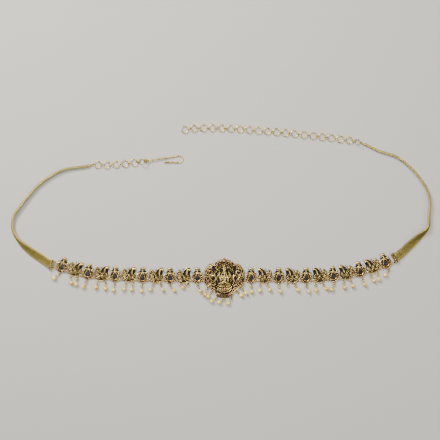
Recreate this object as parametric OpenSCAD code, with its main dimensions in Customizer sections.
// Oddiyanam waist belt, laid open on a flat surface.
// A cast centre plaque carries stone links and peacock links on both sides,
// then woven bands, with a hook chain at the left end and a ring chain at the right.
// X runs along the belt, Y up its height, Z out of its face. The origin lies on the
// plaque's flat back, at the middle of its width, on the belt's centre line.

/* [Cast plates] */
// Thickness of every cast plate
plate_t = 1.3; // [1.1:0.05:1.6]
// Height of the raised rims above a plate
rim_h = 0.8; // [0.6:0.05:1.1]
// Width of the raised rims
rim_w = 1.1; // [0.9:0.05:1.3]
// Width of the thin raised scroll wires
wire_w = 0.8; // [0.6:0.05:1]
// Diameter of the granules
granule_d = 1.5; // [1.2:0.05:1.7]

/* [Centre plaque] */
// Width of the plaque across its side scrolls
plaque_w = 40.4; // [38:0.2:44]
// Height of the plaque from the apron to the crown
plaque_h = 38.6; // [36:0.2:42]
// Height of the figure's relief above the plate
plaque_relief = 3; // [2.6:0.1:3.6]
// Diameter of the figure's head
head_d = 4.2; // [3.6:0.1:4.8]
// Diameter of the finial ball
finial_d = 2; // [1.6:0.1:2.6]
// Middle radius of the round side scrolls
scroll_r = 2.7; // [2.3:0.1:3.2]

/* [Stone links] */
// Width of a stone link's body
stone_link_w = 9.8; // [9.2:0.1:10.6]
// Height of a stone link's body
stone_link_h = 12.7; // [12:0.1:13.6]
// Width of the crown bud above the stone
bud_w = 5; // [4.2:0.1:5.8]
// Height of the crown bud
bud_h = 4.6; // [4:0.1:5.2]
// Width of the pear-shaped stone
stone_w = 4.4; // [4:0.1:5]
// Height of the pear-shaped stone
stone_h = 6.8; // [6.2:0.1:7.4]
// Thickness of the pear-shaped stone
stone_t = 2.4; // [2:0.1:2.8]
// Width of the collar that holds the stone
collar_w = 0.8; // [0.6:0.05:1]
// Clearance all round the stone in its pocket
stone_fit = 0.16; // [0.12:0.01:0.24]

/* [Peacock links] */
// Width of a peacock link's body
peacock_link_w = 14.2; // [13.4:0.1:15.2]
// Height of a peacock link from its lower rim to the bird's head
peacock_link_h = 15.2; // [14.4:0.1:16.2]
// Width of the peacock's neck
neck_w = 1.9; // [1.6:0.05:2.2]
// Middle radius of the curl on the peacock's tail
curl_r = 1.6; // [1.4:0.05:1.9]

/* [Joints] */
// Distance of the joints below the belt's centre line
joint_drop = 5.5; // [5.2:0.1:5.8]
// Middle radius of a joint ring
joint_r = 1.2; // [1.1:0.05:1.3]
// Wire diameter of a joint ring
joint_wire = 0.6; // [0.5:0.05:0.7]
// Clearance of a ring in the eye that it passes through
eye_fit = 0.25; // [0.2:0.01:0.3]
// Wall of the flat eyes that the joint rings pass through
eye_wall = 0.55; // [0.45:0.05:0.7]

/* [Drops] */
// Diameter of a pearl
pearl_d = 4.1; // [3.6:0.1:4.5]
// Middle radius of a drop's jump ring
jump_r = 1.25; // [1.15:0.05:1.4]
// Wire diameter of a drop's jump ring
jump_wire = 0.6; // [0.5:0.05:0.7]
// Wire diameter of a drop's pin
pin_wire = 0.5; // [0.4:0.05:0.6]
// Clearance of the pin in the pearl
pearl_fit = 0.1; // [0.1:0.01:0.15]
// Diameter of the ball at the pin's end
tail_d = 1.1; // [0.9:0.1:1.4]

/* [Woven bands] */
// Length of each woven band
band_len = 162; // [154:1:172]
// Width of the band where it lies flat
band_w = 8.5; // [7.5:0.1:9.5]
// Thickness of the band
band_t = 1.7; // [1.5:0.1:2]
// Length of the end cap that clamps the band
cap_len = 3.6; // [3:0.1:4.4]
// How much lower the left end cap sits than the right one
left_cap_low = 2.4; // [0:0.1:3]
// Wall of the end cap
cap_wall = 0.6; // [0.5:0.05:0.8]
// Clearance of the band in its cap and at its tip
band_fit = 0.12; // [0.1:0.01:0.2]
// Length of the metal tip, up to the middle of its loop
tip_len = 6.5; // [6:0.1:8]

/* [Chains] */
// Number of round rings on the hook side, with the tilted one
hook_rings = 6; // [4:1:8]
// Number of round rings on the other side, with the free end ring
chain_rings = 20; // [16:1:22]
// Middle radius of a round ring
ring_r = 3.4; // [3.2:0.1:3.8]
// Wire diameter of a round ring
ring_wire = 0.9; // [0.8:0.05:1]
// Gap between the wires of two neighbouring rings
ring_gap = 1.45; // [1.3:0.05:1.6]
// Wire diameter of the upright connectors
connector_wire = 0.7; // [0.6:0.05:0.8]
// Clearance of a ring's wire in a connector
connector_fit = 0.15; // [0.12:0.01:0.25]
// Tilt of the ring that hangs on edge in each chain
ring_tilt = 48; // [38:1:52]

/* [Hook] */
// Length of the hook from its eye to its bend
hook_len = 36.6; // [32:0.2:42]
// Middle radius of the hook's bend
hook_r = 3.35; // [3.1:0.05:3.8]
// Wire diameter of the hook
hook_wire = 1.3; // [1.1:0.05:1.4]
// Length of the leg that turns back
hook_leg = 15.3; // [12:0.1:20]
// Middle radius of the hook's eye
hook_eye_r = 1.85; // [1.8:0.05:2.1]

/* [Hidden] */
SIDES = ["l", "r"];

antique = "#a8854a";
stone_colour = "#3a2430";
wire_gold = "#d8bd84";
weave_gold = "#c9ab78";
pearl_gold = "#e6cf9a";

stone_count = 6;
plate_count = 2 * stone_count - 1;

// Heading of each plate from the plaque outwards, in degrees: stone, peacock, stone ...
left_headings = [0, 0, 0.5, 1, 1.5, 2, 3, 5, 9, 14, 20];
right_headings = [0, 0, 0, 0, 1, 3, 6, 10, 14, 18, 24];
// Heading of each end cap
left_cap_heading = 26;
right_cap_heading = 31;

// Share of each band that runs on straight from its cap
straight_share = 0.03;
// Woven bands. Columns: share of the length, heading in degrees
left_band_heading = [
    [0.060, 37], [0.115, 33], [0.180, 38], [0.240, 45], [0.300, 62], [0.345, 78],
    [0.395, 100], [0.445, 127], [0.520, 127], [0.625, 132], [0.715, 145], [0.785, 149],
    [0.850, 162], [0.920, 178], [0.980, 169], [1.000, 167]
];
right_band_heading = [
    [0.060, 43], [0.105, 45], [0.165, 43], [0.230, 40], [0.275, 50], [0.295, 75],
    [0.315, 99], [0.365, 81], [0.415, 85], [0.460, 98], [0.515, 112], [0.565, 124],
    [0.635, 129], [0.700, 137], [0.760, 143], [0.795, 147], [0.830, 164], [0.920, 163],
    [0.950, 149], [1.000, 158]
];
// Columns: share of the length, turn on edge in degrees
band_roll = [[0.00, 0], [0.08, 0], [0.18, 22], [0.28, 62], [0.36, 70], [1.00, 70]];
// Columns: share of the length, share of the full width
band_width = [
    [0.00, 1], [0.14, 0.98], [0.30, 0.72], [0.40, 0.58],
    [0.70, 0.48], [0.90, 0.42], [1.00, 0.34]
];
band_rings = 40;
// Section of the band. Columns: share of the half width, share of the half thickness
band_section = [
    [1, -0.4], [1, 0.4], [0.78, 1], [-0.78, 1], [-1, 0.4], [-1, -0.4], [-0.78, -1], [0.78, -1]
];

// Chain headings. Columns: share of the chain's rings, heading in degrees
left_chain_heading = [[0.0, 182], [0.2, 176], [0.5, 175], [0.8, 172], [1.0, 172]];
right_chain_heading = [
    [0.00, 168], [0.05, 172], [0.20, 173.5], [0.50, 175],
    [0.75, 177], [0.85, 181], [0.93, 185], [1.00, 191]
];
hook_heading = 171.4;
hook_leg_turn = 190;
bend_steps = 16;

// Drops. Columns: swing of each drop in degrees from straight down, towards +X
plaque_swings = [-21, -35, -60, -60, -35, 50, 45];
stone_swings_left = [30, 40, -5, -10, -30, -50];
stone_swings_right = [5, 15, 20, -25, 25, -35];
// Columns: inner eyelet, outer eyelet
peacock_swings_left = [[-60, -75], [20, -30], [-15, -20], [0, -20], [-15, 5]];
peacock_swings_right = [[-5, 25], [0, 25], [5, 35], [10, 20], [30, 10]];
// The two drops that are a bare jump ring. Columns: side, peacock link, eyelet
bare_drops = [["l", 0, 1], ["r", 1, 0]];

// Plaque outline, right half. Columns: share of the half width, share of the height
plaque_outline = [
    [0.000, 0.415], [0.198, 0.404], [0.371, 0.363], [0.495, 0.311], [0.693, 0.290],
    [0.866, 0.220], [0.985, 0.130], [0.995, 0.030], [1.000, -0.100], [0.965, -0.233],
    [0.817, -0.319], [0.619, -0.370], [0.470, -0.440], [0.406, -0.518],
    [0.272, -0.570], [0.000, -0.585]
];
// Raised lines of the plaque, right half, same columns
plaque_arch = [
    [0.000, 0.300], [0.110, 0.285], [0.228, 0.236], [0.312, 0.187],
    [0.436, 0.122], [0.470, 0.050], [0.440, -0.020]
];
plaque_ogee = [[0.327, 0.236], [0.350, 0.320], [0.347, 0.386]];
plaque_ogee_out = [[0.347, 0.386], [0.390, 0.340], [0.450, 0.300]];
plaque_shoulder = [[0.470, 0.190], [0.560, 0.215], [0.680, 0.225], [0.800, 0.180], [0.900, 0.110]];
plaque_neck = [
    [0.610, -0.052], [0.590, -0.014], [0.520, -0.002], [0.440, -0.035],
    [0.425, -0.085], [0.470, -0.140], [0.560, -0.200]
];
plaque_feather = [
    [0.960, -0.040], [0.780, -0.070], [0.640, -0.140], [0.660, -0.215],
    [0.800, -0.260], [0.920, -0.200], [0.960, -0.110]
];
plaque_petal_1 = [[0.000, -0.395], [0.200, -0.372], [0.350, -0.330], [0.420, -0.270]];
plaque_petal_2 = [[0.000, -0.350], [0.160, -0.336], [0.300, -0.300], [0.350, -0.255]];
plaque_fan_1 = [[0.050, -0.470], [0.060, -0.560]];
plaque_fan_2 = [[0.120, -0.462], [0.180, -0.548]];
plaque_fan_3 = [[0.190, -0.450], [0.290, -0.525]];
// Granules of the plaque, right half, same columns
plaque_granules = [
    [0.297, 0.334], [0.173, 0.366], [0.505, 0.262], [0.740, 0.250],
    [0.640, 0.110], [0.780, -0.175], [0.930, 0.160], [0.880, -0.300]
];
plaque_middle_granules = [
    [0.000, 0.380], [0.040, -0.295], [0.125, -0.292], [0.210, -0.285], [0.290, -0.270],
    [0.060, -0.440], [0.170, -0.430], [0.270, -0.408]
];
// Eyelets of the plaque for its drops, from left to right, same columns
plaque_eyelets = [
    [-0.850, -0.345], [-0.610, -0.418], [-0.360, -0.588], [0.000, -0.614],
    [0.360, -0.588], [0.610, -0.415], [0.850, -0.348]
];
// Parts of the figure. Columns: share of the half width, share of the height
figure_upper_arm = [[0.130, 0.020], [0.240, 0.005], [0.300, 0.030], [0.250, 0.075]];
figure_lower_arm = [[0.130, 0.000], [0.260, -0.050], [0.290, -0.095], [0.180, -0.122]];
figure_leg = [[0.000, -0.212], [0.150, -0.200], [0.270, -0.225], [0.300, -0.245]];
figure_torso = [[0.150, 0.025], [0.140, -0.060], [0.090, -0.130], [0.120, -0.190], [0, -0.200]];

// Stone link outline, right half. Columns: share of the half width, share of the height
stone_outline = [
    [0.14, 0.330], [0.26, 0.240], [0.52, 0.130], [0.78, 0.105], [0.95, 0.010],
    [1.00, -0.110], [0.93, -0.250], [0.98, -0.360], [0.86, -0.480], [0.58, -0.535],
    [0.44, -0.600], [0.20, -0.630], [0.00, -0.640]
];
// Raised collar of the stone, right half, from its lower tip to its upper tip
stone_collar = [
    [0.00, -0.535], [0.30, -0.480], [0.56, -0.330], [0.62, -0.180],
    [0.45, 0.020], [0.20, 0.150], [0.06, 0.270]
];
stone_arm = [[0.10, 0.255], [0.50, 0.180], [0.88, 0.200]];
stone_centre_y = -0.142;
stone_ball_y = -0.646;
stone_eye_edge = 0.92;

// Peacock link outline. Columns: share of the half width, outwards, share of the height
peacock_outline = [
    [-0.93, -0.100], [-0.88, 0.030], [-0.68, 0.100], [-0.44, 0.120], [-0.16, 0.100],
    [0.08, 0.150], [0.30, 0.270], [0.52, 0.365], [0.80, 0.340], [0.96, 0.220],
    [0.93, 0.090], [1.00, -0.040], [0.97, -0.200], [0.80, -0.365], [0.51, -0.487],
    [0.17, -0.540], [-0.20, -0.540], [-0.54, -0.500], [-0.76, -0.408], [-0.90, -0.263]
];
peacock_neck = [
    [-0.26, 0.060], [-0.24, 0.200], [-0.30, 0.330], [-0.46, 0.425],
    [-0.66, 0.440], [-0.84, 0.390], [-0.93, 0.320]
];
peacock_crest = [[-0.64, 0.470], [-0.40, 0.520], [-0.10, 0.470], [0.08, 0.385]];
peacock_crest_stem = [[0.08, 0.385], [0.12, 0.280], [0.20, 0.170]];
// Middle of the peacock's tail curl, same columns
peacock_curl = [0.63, 0.190];
peacock_fan_1 = [[0.30, -0.420], [0.46, -0.260], [0.50, -0.020]];
peacock_fan_2 = [[0.50, -0.400], [0.66, -0.250], [0.70, -0.010]];
peacock_granules = [
    [-0.72, -0.330], [-0.52, -0.410], [-0.28, -0.450], [-0.02, -0.460], [0.24, -0.450]
];
peacock_eyelets = [[-0.66, -0.580], [0.35, -0.590]];
peacock_eye_edge = 0.82;

// Heights above the surface that the belt lies on
joint_z = joint_r + joint_wire / 2;
rim_z = plate_t + rim_h;
drop_z = jump_r + jump_wire / 2 - 0.05;
tilted_z = ring_r * sin(ring_tilt) + ring_wire / 2;

// Reliefs of the raised lines above the rims
low_relief = 0.25;
mid_relief = 0.6;
high_relief = 1;

// Eyes and pitches of the plates
eye_bore_r = joint_wire / 2 + eye_fit;
eye_out_r = eye_bore_r + eye_wall;
eye_t = 0.56;
eye_clear_r = eye_bore_r + 0.35;
eye_reach = 0.52;
plaque_eye_inset = 0.85;
plaque_eye_x = plaque_w / 2 - plaque_eye_inset;
stone_eye_x = stone_link_w / 2 * stone_eye_edge + eye_reach;
peacock_eye_x = peacock_link_w / 2 * peacock_eye_edge + eye_reach;
plaque_reach = plaque_eye_x + joint_r;
stone_pitch = 2 * (stone_eye_x + joint_r);
peacock_pitch = 2 * (peacock_eye_x + joint_r);

// Drop eyelets and drops, measured from the eyelet along the drop
eyelet_r = jump_wire / 2 + 0.45;
eyelet_wire = 0.6;
pin_loop_r = jump_wire / 2 + pin_wire / 2 + 0.25;
pin_neck = 0.8;
pearl_x = pin_loop_r + pin_neck + pearl_d / 2;
pearl_z = pearl_d / 2 + 0.05;
pin_rise = asin((pearl_z - drop_z) / pearl_x);
tail_x = pearl_x + pearl_d / 2 + tail_d / 2 + 0.3;

// Chains
connector_half = ring_gap / 2 + ring_wire + connector_fit + connector_wire / 2 + 0.02;
connector_rise = ring_wire / 2 + connector_fit + connector_wire / 2 + 0.3;
connector_z = connector_rise + connector_wire / 2;
slope_room = 0.3;
slope_rise = 0.45;
ring_z = connector_z;
ring_pitch = 2 * ring_r + ring_wire + ring_gap;
tilted_pitch = ring_pitch - 0.5;
tip_loop_r = ring_wire / 2 + 0.7;
tip_wire = 0.7;
hook_eye_z = max(hook_eye_r + hook_wire / 2, tilted_z - 0.25);
hook_drop = asin((hook_eye_z - hook_wire / 2) / hook_len);

// Turtle along the plates: inner joint of plate i, from the plaque outwards
function side_headings(s) = s == "l" ? left_headings : right_headings;
function cap_heading(s) = s == "l" ? left_cap_heading : right_cap_heading;
function dir(a) = [cos(a), sin(a)];
function pitch(i) = i % 2 == 0 ? stone_pitch : peacock_pitch;
function joint(s, i) = i == 0 ? [plaque_reach, -joint_drop]
    : joint(s, i - 1) + pitch(i - 1) * dir(side_headings(s)[i - 1]);
function plate_heading(s, i) = i < plate_count ? side_headings(s)[i] : cap_heading(s);
// Middle of plate i on the belt's centre line
function plate_place(s, i) = joint(s, i) + pitch(i) / 2 * dir(plate_heading(s, i))
    + joint_drop * dir(plate_heading(s, i) + 90);

// Woven bands: the point at ring k, counted from the cap
cap_eye_x = joint_r;
cap_neck = 0.7;
cap_start = cap_eye_x + eye_bore_r + cap_neck;
function cap_mid_y(s) = joint_drop + stone_link_h * stone_centre_y - (s == "l" ? left_cap_low : 0);
function band_start(s) = joint(s, plate_count) + cap_mid_y(s) * dir(cap_heading(s) + 90)
    + (cap_start + cap_wall + band_fit) * dir(cap_heading(s));
function band_table(s) = concat(
    [[0, cap_heading(s)], [straight_share, cap_heading(s)]],
    s == "l" ? left_band_heading : right_band_heading
);
function band_share(k) = k / band_rings;
function band_turn(s, k) = k == 0 ? cap_heading(s) : lookup(band_share(k), band_table(s));
function band_points(s) = [
    for (k = 0, p = band_start(s); k <= band_rings;
        k = k + 1,
        p = p + band_len / band_rings * dir((band_turn(s, k - 1) + band_turn(s, k)) / 2)) p
];
function band_half(k) = band_w / 2 * lookup(band_share(k), band_width);
function band_lift(k) = (cap_wall + band_fit) * lookup(band_share(k), [[0, 1], [0.02, 1], [0.08, 0]]);
function band_z(k) = let (r = lookup(band_share(k), band_roll))
    band_half(k) * sin(r) + band_t / 2 * cos(r) + band_lift(k);

// Tips and chains: places counted from the band's end
function tip_start(s) = let (p = band_points(s)) p[band_rings];
function tip_heading(s) = band_turn(s, band_rings);
tip_low_z = band_z(band_rings);
function tip_high_z(s) = s == "l" ? connector_z : tilted_z;
function tip_rise(s) = asin((tip_high_z(s) - tip_low_z) / tip_len);
function tip_end(s) = tip_start(s) + tip_len * cos(tip_rise(s)) * dir(tip_heading(s));
function ring_count(s) = s == "l" ? hook_rings : chain_rings;
function chain_table(s) = s == "l" ? left_chain_heading : right_chain_heading;
function chain_turn(s, k) = lookup(k / (ring_count(s) - 1), chain_table(s));
function is_tilted(s, k) = s == "l" ? k == hook_rings - 1 : k == 0;
function step_length(s, k) = is_tilted(s, k) || is_tilted(s, k + 1) ? tilted_pitch : ring_pitch;
function ring_place(s, k) = k == 0 ? tip_end(s) + ring_r * dir(chain_turn(s, 0))
    : ring_place(s, k - 1) + step_length(s, k - 1) * dir(chain_turn(s, k - 1));
function ring_height(s, k) = is_tilted(s, k) ? tilted_z : ring_z;
hook_place = ring_place("l", hook_rings - 1) + ring_r * dir(chain_turn("l", hook_rings - 1));

// Outline helpers: a table of shares made into points, smoothed through its rows
function sized(t, w, h) = [for (p = t) [p[0] * w / 2, p[1] * h]];
function mirrored(t) = concat(t, [for (i = [len(t) - 1:-1:0]) if (t[i][0] > 0.001) [-t[i][0], t[i][1]]]);
function spline(a, b, c, d, t) = 0.5 * (2 * b + (c - a) * t + (2 * a - 5 * b + 4 * c - d) * t * t
    + (3 * b - a - 3 * c + d) * t * t * t);
function closed(p, n) = let (m = len(p)) [
    for (i = [0:m - 1], j = [0:n - 1])
        spline(p[(i + m - 1) % m], p[i], p[(i + 1) % m], p[(i + 2) % m], j / n)
];
function open(p, n) = let (m = len(p)) concat([
    for (i = [0:m - 2], j = [0:n - 1])
        spline(p[max(i - 1, 0)], p[i], p[i + 1], p[min(i + 2, m - 1)], j / n)
], [p[m - 1]]);
function unit(v) = v / norm(v);
function across(p, i) = let (d = unit(p[min(i + 1, len(p) - 1)] - p[max(i - 1, 0)])) [-d[1], d[0]];

// A raised line of width w along points, from half the plate's thickness up to z
module ridge(points, w, z, n = 3) {
    p = open(points, n);
    m = len(p);
    low = plate_t * 0.5;
    translate([0, 0, low])
        linear_extrude(z - low)
            offset(delta = 0.01)
                polygon(concat(
                    [for (i = [0:m - 1]) p[i] + across(p, i) * w / 2],
                    [for (i = [m - 1:-1:0]) p[i] - across(p, i) * w / 2]
                ));
}
// A raised pillow: three steps of an outline, each smaller and higher
module pillow(points, z, rise) {
    low = plate_t * 0.4;
    for (k = [0:2])
        translate([0, 0, low])
            linear_extrude(z - low + rise * k / 2)
                offset(delta = -0.55 * k)
                    polygon(points);
}
module oval(x, y, w, h, turn, z, rise) {
    pillow([for (a = [0:20:340]) [x, y] + [
        w / 2 * cos(a) * cos(turn) - h / 2 * sin(a) * sin(turn),
        w / 2 * cos(a) * sin(turn) + h / 2 * sin(a) * cos(turn)]], z, rise);
}
module granule(p, d, z) {
    translate([p[0], p[1], z])
        sphere(d = d, $fn = 24);
}
module torus(r, wire) {
    rotate_extrude($fn = 48)
        translate([r, 0])
            circle(d = wire, $fn = 20);
}
module rod(a, b, d) {
    v = b - a;
    translate(a)
        rotate([0, acos(v[2] / norm(v)), atan2(v[1], v[0])])
            cylinder(h = norm(v), d = d, $fn = 20);
}
// A cast plate: its base with a rim all round
module cast_base(outline) {
    linear_extrude(plate_t)
        polygon(outline);
    linear_extrude(rim_z)
        difference() {
            polygon(outline);
            offset(delta = -rim_w)
                polygon(outline);
        }
}
// Room for a joint ring, cut from the plate, at x on the joint line
module joint_room(x) {
    translate([x, -joint_drop, -1])
        cylinder(h = rim_z + plaque_relief + 2, r = eye_clear_r, $fn = 32);
}
// The flat eye of a joint, with a lug towards the plate
module joint_eye(x, inward) {
    lug = eye_out_r + 0.5;
    translate([x, -joint_drop, joint_z - eye_t / 2])
        difference() {
            union() {
                cylinder(h = eye_t, r = eye_out_r, $fn = 32);
                translate([inward * lug / 2, 0, eye_t / 2])
                    cube([lug, 1.2, eye_t * 0.96], center = true);
            }
            translate([0, 0, -1])
                cylinder(h = eye_t + 2, r = eye_bore_r, $fn = 32);
        }
}
// A drop's eyelet at e, standing in the drop's direction, on a stem from the plate
module drop_eye(e, swing, stem) {
    centre = [e[0], e[1], drop_z];
    near = centre - eyelet_r * [sin(swing), -cos(swing), 0];
    translate(centre)
        rotate([0, 0, swing])
            rotate([0, 90, 0])
                torus(eyelet_r, eyelet_wire);
    rod([e[0], e[1] + stem, drop_z - 0.25], near, eyelet_wire * 1.08);
}

module centre_plaque() {
    function at(t) = sized(t, plaque_w, plaque_h);
    body = closed(mirrored(at(plaque_outline)), 3);
    top = plate_t + plaque_relief;
    color(antique) {
        difference() {
            union() {
                cast_base(body);
                for (s = [0, 1])
                    mirror([s, 0, 0]) {
                        ridge(at(plaque_arch), rim_w, rim_z + mid_relief);
                        ridge(at(plaque_ogee), wire_w, rim_z + low_relief + 0.1);
                        ridge(at(plaque_ogee_out), wire_w, rim_z + low_relief);
                        ridge(at(plaque_shoulder), wire_w, rim_z + low_relief - 0.05);
                        ridge(at(plaque_neck), neck_w * 0.85, rim_z + high_relief);
                        pillow(closed(at(plaque_feather), 2), rim_z, high_relief * 0.9);
                        ridge(at(plaque_petal_1), rim_w * 1.2, rim_z + mid_relief - 0.1);
                        ridge(at(plaque_petal_2), rim_w * 1.1, rim_z + high_relief - 0.1);
                        ridge(at(plaque_fan_1), wire_w, rim_z + low_relief, 1);
                        ridge(at(plaque_fan_2), wire_w, rim_z + low_relief * 0.7, 1);
                        ridge(at(plaque_fan_3), wire_w, rim_z + low_relief * 0.4, 1);
                        translate([plaque_w * 0.344, plaque_h * 0.062, rim_z - 0.1])
                            torus(scroll_r, rim_w);
                        granule([plaque_w * 0.305, -plaque_h * 0.044], neck_w, rim_z + 0.4);
                        for (p = at(plaque_granules))
                            granule(p, granule_d, plate_t + 0.45);
                        ridge(at(figure_upper_arm), 1.5, top - 0.9);
                        ridge(at(figure_lower_arm), 1.6, top - 0.6);
                        ridge(at(figure_leg), 2.4, top - 0.5);
                        granule([plaque_w * 0.118, plaque_h * 0.076], granule_d, top - 1);
                        granule([plaque_w * 0.092, -plaque_h * 0.120], granule_d, top - 0.75);
                    }
                for (s = [0, 1], p = at(plaque_middle_granules))
                    if (s == 0 || p[0] > 0)
                        mirror([s, 0, 0])
                            granule(p, granule_d, plate_t + 0.5);
                pillow(mirrored(at(figure_torso)), top - 1.1, 0.8);
                granule([0, plaque_h * 0.088], head_d, top - head_d * 0.36);
                translate([0, plaque_h * 0.125, top - head_d * 0.42])
                    rotate([-90, 0, 0])
                        cylinder(h = plaque_h * 0.125, d1 = head_d * 0.88, d2 = head_d * 0.3, $fn = 32);
                granule([0, plaque_h * 0.415 + finial_d * 0.3], finial_d, plate_t);
            }
            for (x = [-plaque_eye_x, plaque_eye_x])
                joint_room(x);
        }
        for (t = [-1, 1])
            joint_eye(t * plaque_eye_x, -t);
        for (k = [0:len(plaque_eyelets) - 1])
            drop_eye(at(plaque_eyelets)[k], plaque_swings[k], 2.3);
    }
}

// Outline of the stone, its pocket and collar: a pear with its point up
pear_k = 0.77;
pear_sides = 16;
function pear(w, h) = [
    for (i = [0:pear_sides - 1]) let (a = 360 * i / pear_sides)
        [w / 2 * sin(a) * abs(sin(a / 2)) / pear_k, h / 2 * cos(a)]
];
stone_floor = 0.5;
stone_y = stone_link_h * stone_centre_y;
collar_z = rim_z + 0.4;
stone_low_z = stone_floor + 0.1;
stone_ball_d = granule_d * 1.45;
stone_eyelet_y = stone_link_h * stone_ball_y - stone_ball_d / 2 - 0.8;

module stone_link_body(swing) {
    function at(t) = sized(t, stone_link_w, stone_link_h);
    body = closed(mirrored(at(stone_outline)), 2);
    bud_y = stone_link_h * 0.30;
    difference() {
        union() {
            cast_base(body);
            for (s = [0, 1])
                mirror([s, 0, 0]) {
                    ridge(at(stone_collar), collar_w, collar_z);
                    ridge(at(stone_arm), wire_w, rim_z - 0.2);
                    granule([stone_link_w * 0.45, stone_link_h * 0.205], granule_d, plate_t);
                    granule([stone_link_w * 0.40, -stone_link_h * 0.30], granule_d, plate_t + 0.5);
                }
            translate([0, stone_y, plate_t * 0.5])
                linear_extrude(collar_z - 0.1 - plate_t * 0.5)
                    polygon(pear(stone_w + 2 * (stone_fit + collar_w), stone_h + 2 * (stone_fit + collar_w)));
            translate([-wire_w, bud_y - 1, 0.3])
                cube([wire_w * 2, 3, plate_t + 0.2]);
            translate([0, bud_y + bud_h * 0.28, 0])
                pillow([
                    [-bud_w * 0.36, -bud_h * 0.30], [bud_w * 0.36, -bud_h * 0.30],
                    [bud_w * 0.50, bud_h * 0.05], [bud_w * 0.46, bud_h * 0.30],
                    [-bud_w * 0.46, bud_h * 0.30], [-bud_w * 0.50, bud_h * 0.05]
                ], rim_z - 0.4, 0.7);
            translate([0, bud_y + bud_h * 0.80, 0])
                oval(0, 0, bud_w * 0.92, bud_h * 0.52, 0, rim_z - 0.1, 0.8);
            translate([-wire_w, bud_y + bud_h * 0.4, 0.35])
                cube([wire_w * 2, bud_h * 0.3, plate_t + 0.1]);
            granule([0, stone_link_h * stone_ball_y], stone_ball_d, plate_t);
        }
        translate([0, stone_y, stone_floor])
            linear_extrude(collar_z + 2)
                polygon(pear(stone_w + 2 * stone_fit, stone_h + 2 * stone_fit));
        for (x = [-stone_eye_x, stone_eye_x])
            joint_room(x);
    }
    for (t = [-1, 1])
        joint_eye(t * stone_eye_x, -t);
    drop_eye([0, stone_eyelet_y], swing, 1.3);
}

// The stone: flat floor, girdle, crown facets and table
module pear_stone_body() {
    shares = [0.62, 1, 1, 0.62];
    levels = [0, stone_t * 0.5, stone_t * 0.62, stone_t];
    rows = [for (k = [0:3]) [for (p = pear(stone_w, stone_h)) [
        p[0] * shares[k], p[1] * shares[k], levels[k]]]];
    n = pear_sides;
    points = [for (r = rows, p = r) p];
    sides = [for (k = [0:2], i = [0:n - 1]) [
        k * n + i, k * n + (i + 1) % n, (k + 1) * n + (i + 1) % n, (k + 1) * n + i]];
    translate([0, stone_y, stone_low_z])
        polyhedron(points, concat(sides, [[for (i = [n - 1:-1:0]) i], [for (i = [0:n - 1]) 3 * n + i]]));
}

module peacock_link_body(swings) {
    function at(t) = sized(t, peacock_link_w, peacock_link_h);
    body = closed(at(peacock_outline), 2);
    eyelets = at(peacock_eyelets);
    difference() {
        union() {
            cast_base(body);
            ridge(at(peacock_neck), neck_w, rim_z + mid_relief);
            granule(at(peacock_neck)[5], neck_w * 1.2, rim_z - 0.2);
            ridge(at(peacock_crest), wire_w, rim_z + low_relief * 0.8);
            ridge(at(peacock_crest_stem), wire_w, rim_z + low_relief * 0.4);
            granule(at(peacock_crest)[3], granule_d * 0.95, plate_t + 0.4);
            translate([peacock_curl[0] * peacock_link_w / 2, peacock_curl[1] * peacock_link_h, rim_z - 0.1])
                torus(curl_r, rim_w);
            ridge(at(peacock_fan_1), wire_w, rim_z + low_relief);
            ridge(at(peacock_fan_2), wire_w, rim_z + low_relief * 0.8);
            oval(-peacock_link_w * 0.29, -peacock_link_h * 0.125, 3.4, 5, 15, rim_z - 0.3, 1.3);
            oval(-peacock_link_w * 0.02, -peacock_link_h * 0.165, 3.2, 5.4, -20, rim_z - 0.35, 1);
            for (p = at(peacock_granules))
                granule(p, granule_d, plate_t + 0.5);
        }
        for (x = [-peacock_eye_x, peacock_eye_x])
            joint_room(x);
    }
    for (t = [-1, 1])
        joint_eye(t * peacock_eye_x, -t);
    for (k = [0, 1])
        drop_eye(eyelets[k], swings[k], k == 0 ? 2.2 : 1.6);
}

// Places a right-hand shape on side s, mirrored on the left
module on_side(s) {
    mirror([s == "l" ? 1 : 0, 0, 0])
        children();
}
module at_plate(s, i) {
    on_side(s)
        translate(plate_place(s, i))
            rotate([0, 0, plate_heading(s, i)])
                children();
}
function outward(s, swing) = s == "l" ? -swing : swing;
function local_swing(s, i, swing) = outward(s, swing) - plate_heading(s, i);
function stone_swing(s, k) = s == "l" ? stone_swings_left[k] : stone_swings_right[k];
function peacock_swing(s, k) = s == "l" ? peacock_swings_left[k] : peacock_swings_right[k];

module stone_link(s, k) {
    color(antique)
        at_plate(s, 2 * k)
            stone_link_body(local_swing(s, 2 * k, stone_swing(s, k)));
}
module pear_stone(s, k) {
    color(stone_colour)
        at_plate(s, 2 * k)
            pear_stone_body();
}
module peacock_link(s, k) {
    i = 2 * k + 1;
    color(antique)
        at_plate(s, i)
            peacock_link_body([for (a = peacock_swing(s, k)) local_swing(s, i, a)]);
}

// One upright ring in each joint, turned half way between its two plates
module joint_rings() {
    color(wire_gold)
        for (s = SIDES, i = [0:plate_count]) {
            before = i == 0 ? 0 : plate_heading(s, i - 1);
            on_side(s)
                translate([joint(s, i)[0], joint(s, i)[1], joint_z])
                    rotate([0, 0, (before + plate_heading(s, i)) / 2])
                        rotate([90, 0, 0])
                            torus(joint_r, joint_wire);
        }
}

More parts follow.
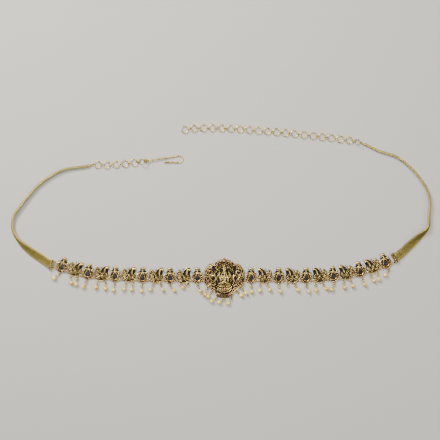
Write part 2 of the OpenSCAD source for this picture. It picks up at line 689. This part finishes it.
// Every drop as [x, y, swing, has a pearl]
function placed(s, i, e) = let (h = plate_heading(s, i), p = plate_place(s, i))
    [p[0] + e[0] * cos(h) - e[1] * sin(h), p[1] + e[0] * sin(h) + e[1] * cos(h)];
function sided(s, p) = s == "l" ? [-p[0], p[1]] : p;
function has_pearl(s, k, e) = len([for (b = bare_drops) if (b == [s, k, e]) b]) == 0;
function drop_at(p, swing, pearl) = [p[0], p[1], swing, pearl];
drops = concat(
    [for (k = [0:6]) drop_at(sized(plaque_eyelets, plaque_w, plaque_h)[k], plaque_swings[k], true)],
    [for (s = SIDES, k = [0:stone_count - 1])
        drop_at(sided(s, placed(s, 2 * k, [0, stone_eyelet_y])), stone_swing(s, k), true)],
    [for (s = SIDES, k = [0:stone_count - 2], e = [0, 1])
        drop_at(sided(s, placed(s, 2 * k + 1, sized(peacock_eyelets, peacock_link_w, peacock_link_h)[e])),
            peacock_swing(s, k)[e], has_pearl(s, k, e))]
);
// Places its children at a drop's eyelet, with X along the drop
module at_drop(d) {
    translate([d[0], d[1], drop_z])
        rotate([0, 0, d[2] - 90])
            children();
}
// Places its children at the pin's loop, with X along the pin
module at_pin(d) {
    at_drop(d)
        translate([2 * jump_r, 0, 0])
            rotate([0, -pin_rise, 0])
                children();
}
module drop_rings() {
    color(wire_gold)
        for (d = drops)
            at_drop(d)
                translate([jump_r, 0, 0])
                    torus(jump_r, jump_wire);
}
module drop_pins() {
    color(wire_gold)
        for (d = drops)
            if (d[3])
                at_pin(d) {
                    rotate([90, 0, 0])
                        torus(pin_loop_r, pin_wire);
                    translate([pin_loop_r, 0, 0])
                        rotate([0, 90, 0])
                            cylinder(h = tail_x - pin_loop_r, d = pin_wire, $fn = 20);
                    translate([tail_x, 0, 0])
                        sphere(d = tail_d, $fn = 24);
                }
}
module drilled_pearl() {
    bore = pin_wire / 2 + pearl_fit;
    rotate_extrude($fn = 48)
        intersection() {
            circle(d = pearl_d, $fn = 48);
            translate([bore, -pearl_d])
                square([pearl_d, 2 * pearl_d]);
        }
}
module drop_pearls() {
    color(pearl_gold)
        for (d = drops)
            if (d[3])
                at_pin(d)
                    translate([pearl_x, 0, 0])
                        rotate([0, 90, 0])
                            drilled_pearl();
}

// The cap that clamps the start of a woven band
module end_cap(s) {
    cap_w = band_w + 2 * (cap_wall + band_fit);
    cap_h = band_t + 2 * (cap_wall + band_fit);
    color(antique)
        on_side(s)
            translate(joint(s, plate_count))
                rotate([0, 0, cap_heading(s)]) {
                    translate([cap_start, cap_mid_y(s) - cap_w / 2, 0])
                        difference() {
                            cube([cap_len, cap_w, cap_h]);
                            translate([cap_wall, cap_wall, cap_wall])
                                cube([cap_len, band_w + 2 * band_fit, band_t + 2 * band_fit]);
                        }
                    translate([0, joint_drop, 0])
                        joint_eye(cap_eye_x, 1);
                    for (k = [-1:1])
                        translate([cap_start + cap_len * 0.5, cap_mid_y(s) + k * cap_w * 0.3, cap_h])
                            sphere(d = cap_wall * 1.8, $fn = 24);
                }
}

// The band: one closed skin through its sections
module woven_band(s) {
    centres = band_points(s);
    n = len(band_section);
    rows = [for (k = [0:band_rings]) let (
        a = band_turn(s, k),
        r = lookup(band_share(k), band_roll),
        u = [-sin(a) * cos(r), cos(a) * cos(r), sin(r)],
        v = [sin(a) * sin(r), -cos(a) * sin(r), cos(r)],
        c = [centres[k][0], centres[k][1], band_z(k)])
        [for (q = band_section) c + q[0] * band_half(k) * u + q[1] * band_t / 2 * v]];
    sides = [for (k = [0:band_rings - 1], i = [0:n - 1], t = [0, 1]) t == 0
        ? [k * n + i, k * n + (i + 1) % n, (k + 1) * n + (i + 1) % n]
        : [k * n + i, (k + 1) * n + (i + 1) % n, (k + 1) * n + i]];
    color(weave_gold)
        on_side(s)
            polyhedron(
                [for (r = rows, p = r) p],
                concat(sides, [[for (i = [n - 1:-1:0]) i], [for (i = [0:n - 1]) band_rings * n + i]])
            );
}
// The tip: a cone over the gathered end, a neck and an upright loop
module band_tip(s) {
    start = tip_start(s);
    cone_len = tip_len * 0.45;
    cone_d = band_w * 0.34;
    loop_roll = s == "l" ? 0 : ring_tilt / 2;
    color(wire_gold)
        on_side(s)
            translate([start[0], start[1], tip_low_z])
                rotate([0, 0, tip_heading(s)])
                    rotate([0, -tip_rise(s), 0]) {
                        translate([band_fit + cone_d / 2 * abs(sin(tip_rise(s))), 0, 0])
                            rotate([0, 90, 0])
                                cylinder(h = cone_len, d1 = cone_d, d2 = tip_wire * 1.5, $fn = 24);
                        translate([cone_len * 0.9, 0, 0])
                            rotate([0, 90, 0])
                                cylinder(h = tip_len - cone_len * 0.9 - tip_loop_r, d = tip_wire * 1.2, $fn = 20);
                        translate([tip_len, 0, 0])
                            rotate([90 + loop_roll, 0, 0])
                                torus(tip_loop_r, tip_wire);
                    }
}

module round_ring(s, k) {
    place = ring_place(s, k);
    on_side(s)
        translate([place[0], place[1], ring_height(s, k)])
            rotate([0, 0, chain_turn(s, k)])
                rotate([is_tilted(s, k) ? ring_tilt : 0, 0, 0])
                    torus(ring_r, ring_wire);
}
// An upright oval link between ring k and the next one
module connector(s, k) {
    a = ring_place(s, k) + ring_r * dir(chain_turn(s, k));
    b = ring_place(s, k + 1) - ring_r * dir(chain_turn(s, k));
    za = ring_height(s, k);
    zb = ring_height(s, k + 1);
    level = za == zb;
    mid = (a + b) / 2;
    on_side(s)
        translate([mid[0], mid[1], level ? connector_z : (za + zb) / 2])
            rotate([0, 0, chain_turn(s, k)])
                rotate([0, -atan2(zb - za, norm(b - a)), 0])
                    rotate([90 + (level ? 0 : ring_tilt / 2), 0, 0])
                        oval_link(
                            connector_half + (level ? 0 : slope_room),
                            connector_rise + (level ? 0 : slope_rise)
                        );
}
module oval_link(half, rise) {
    rings = 12;
    n = 5;
    centre = [for (i = [0:rings - 1]) let (t = 360 * i / rings)
        [half * cos(t), rise * sin(t)]];
    points = [for (i = [0:rings - 1]) let (
        d = unit(centre[(i + 1) % rings] - centre[(i + rings - 1) % rings]),
        o = [d[1], -d[0]])
        for (j = [0:n - 1]) let (b = 360 * j / n, e = connector_wire / 2)
            [centre[i][0] + o[0] * e * cos(b), centre[i][1] + o[1] * e * cos(b), e * sin(b)]];
    faces = [for (i = [0:rings - 1], j = [0:n - 1]) [
        i * n + j, i * n + (j + 1) % n,
        ((i + 1) % rings) * n + (j + 1) % n, ((i + 1) % rings) * n + j]];
    polyhedron(points, faces);
}
module hook_chain() {
    color(wire_gold) {
        for (k = [0:hook_rings - 1])
            round_ring("l", k);
        for (k = [0:hook_rings - 2])
            connector("l", k);
    }
}
module ring_chain() {
    color(wire_gold) {
        for (k = [0:chain_rings - 2])
            round_ring("r", k);
        for (k = [0:chain_rings - 2])
            connector("r", k);
    }
}
module end_ring() {
    color(wire_gold)
        round_ring("r", chain_rings - 1);
}

// The hook: a shank, a round bend and a leg that comes back towards the eye
module hook() {
    sides = 10;
    shank = hook_len - hook_r;
    bend = [for (i = [0:bend_steps]) let (a = hook_leg_turn * i / bend_steps)
        [shank + hook_r * sin(a), hook_r - hook_r * cos(a)]];
    path = concat([[hook_eye_r, 0]], bend, [bend[bend_steps] + hook_leg * dir(hook_leg_turn)]);
    m = len(path);
    rows = [for (i = [0:m - 1]) let (o = across(path, i))
        [for (j = [0:sides - 1]) let (b = 360 * j / sides, e = hook_wire / 2)
            [path[i][0] + o[0] * e * cos(b), path[i][1] + o[1] * e * cos(b), e * sin(b)]]];
    faces = [for (k = [0:m - 2], i = [0:sides - 1]) [
        k * sides + i, (k + 1) * sides + i,
        (k + 1) * sides + (i + 1) % sides, k * sides + (i + 1) % sides]];
    color(wire_gold)
        on_side("l")
            translate([hook_place[0], hook_place[1], hook_eye_z])
                rotate([0, 0, hook_heading])
                    rotate([0, hook_drop, 0]) {
                        rotate([90 + ring_tilt / 2, 0, 0])
                            torus(hook_eye_r, hook_wire);
                        polyhedron(
                            [for (r = rows, p = r) p],
                            concat(faces, [
                                [for (i = [0:sides - 1]) i],
                                [for (i = [sides - 1:-1:0]) (m - 1) * sides + i]
                            ])
                        );
                    }
}

centre_plaque();
for (s = SIDES, k = [0:stone_count - 1])
    stone_link(s, k);
for (s = SIDES, k = [0:stone_count - 1])
    pear_stone(s, k);
for (s = SIDES, k = [0:stone_count - 2])
    peacock_link(s, k);
joint_rings();
drop_rings();
drop_pins();
drop_pearls();
end_cap("l");  // end_cap_left
end_cap("r");  // end_cap_right
woven_band("l");  // woven_band_left
woven_band("r");  // woven_band_right
band_tip("l");  // band_tip_left
band_tip("r");  // band_tip_right
hook_chain();
hook();
ring_chain();
end_ring();
